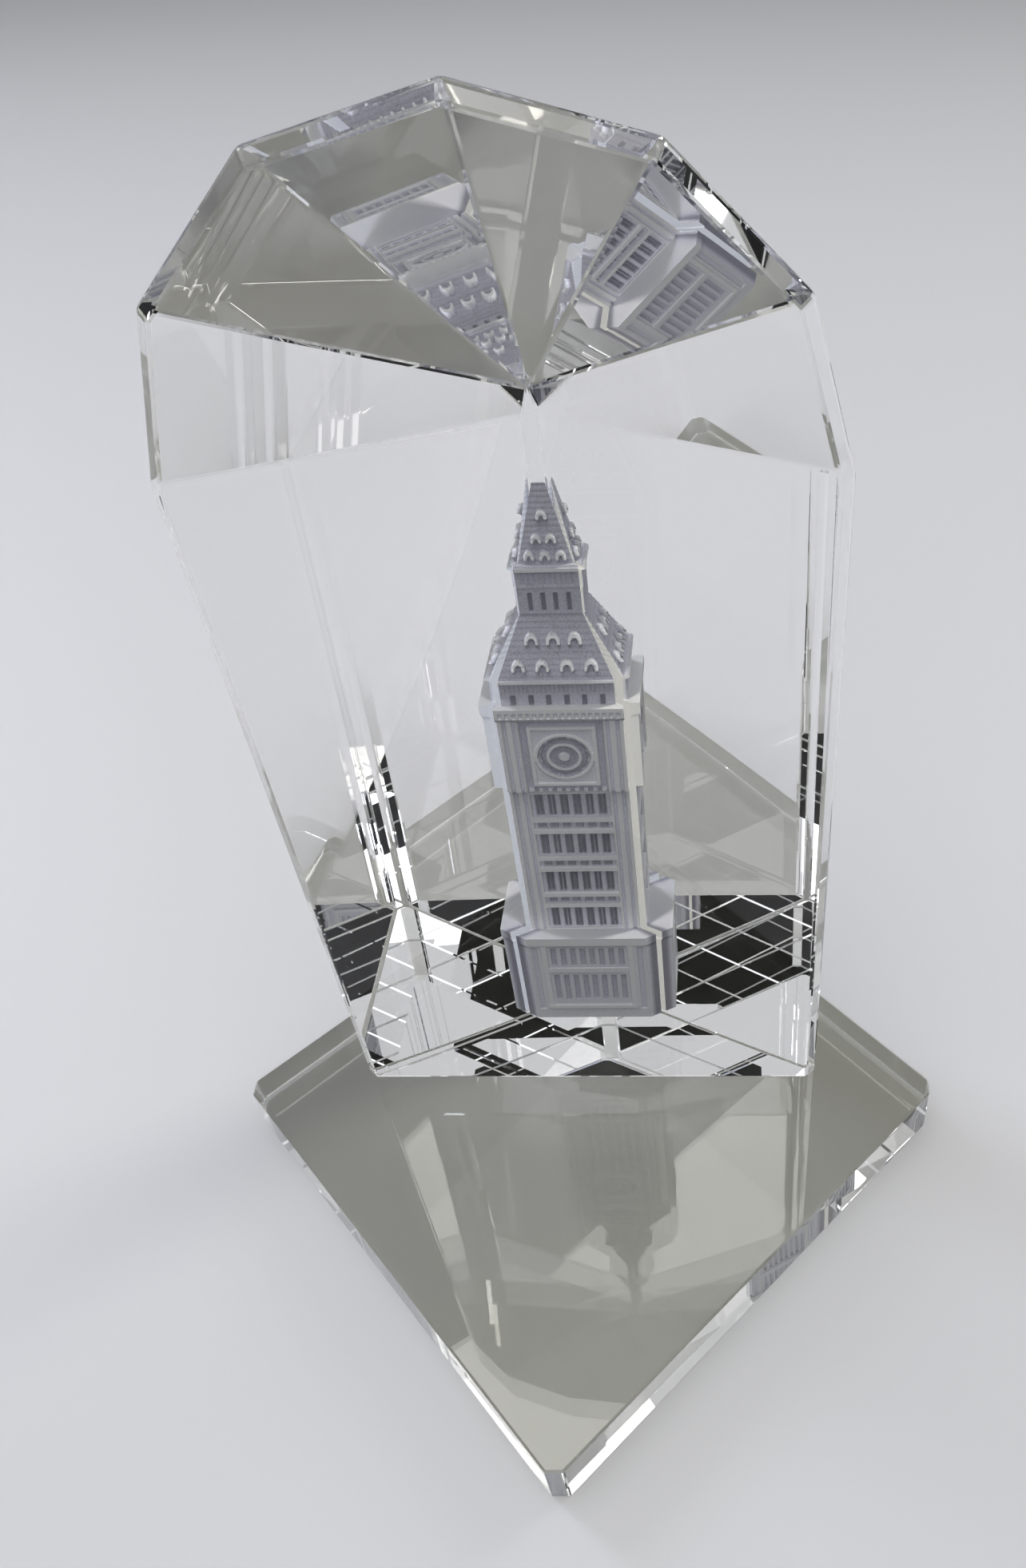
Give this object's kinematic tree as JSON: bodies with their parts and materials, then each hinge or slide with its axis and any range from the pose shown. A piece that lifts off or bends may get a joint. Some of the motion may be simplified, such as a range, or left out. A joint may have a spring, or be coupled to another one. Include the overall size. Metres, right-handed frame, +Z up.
{
  "type": "crystal award",
  "caption": "Clear crystal award: an upright faceted block with an arched top and a tower engraved inside it, on a square crystal base plate.",
  "frame": {"origin": "middle of the underside of the base plate", "axes": "+Z up, the block's front face looks along -Y, +X to the right of someone facing it"},
  "size_m": [0.1106, 0.1106, 0.1601],
  "materials": {
    "block_crystal": "polished optical crystal",
    "base_crystal": "polished optical crystal",
    "clear_adhesive": "cured clear adhesive",
    "engraving": "white frosted engraving inside the crystal"
  },
  "bodies": {
    "root": {"base_plate": "base_crystal", "adhesive_film": "clear_adhesive", "crystal_block": "block_crystal", "engraved_plinth": "engraving", "engraved_shaft": "engraving", "engraved_clock_stage": "engraving", "engraved_clock_dial": "engraving", "engraved_cornice": "engraving", "engraved_belfry": "engraving", "engraved_lower_roof": "engraving", "engraved_lantern": "engraving", "engraved_upper_roof": "engraving"}
  },
  "joints": []
}
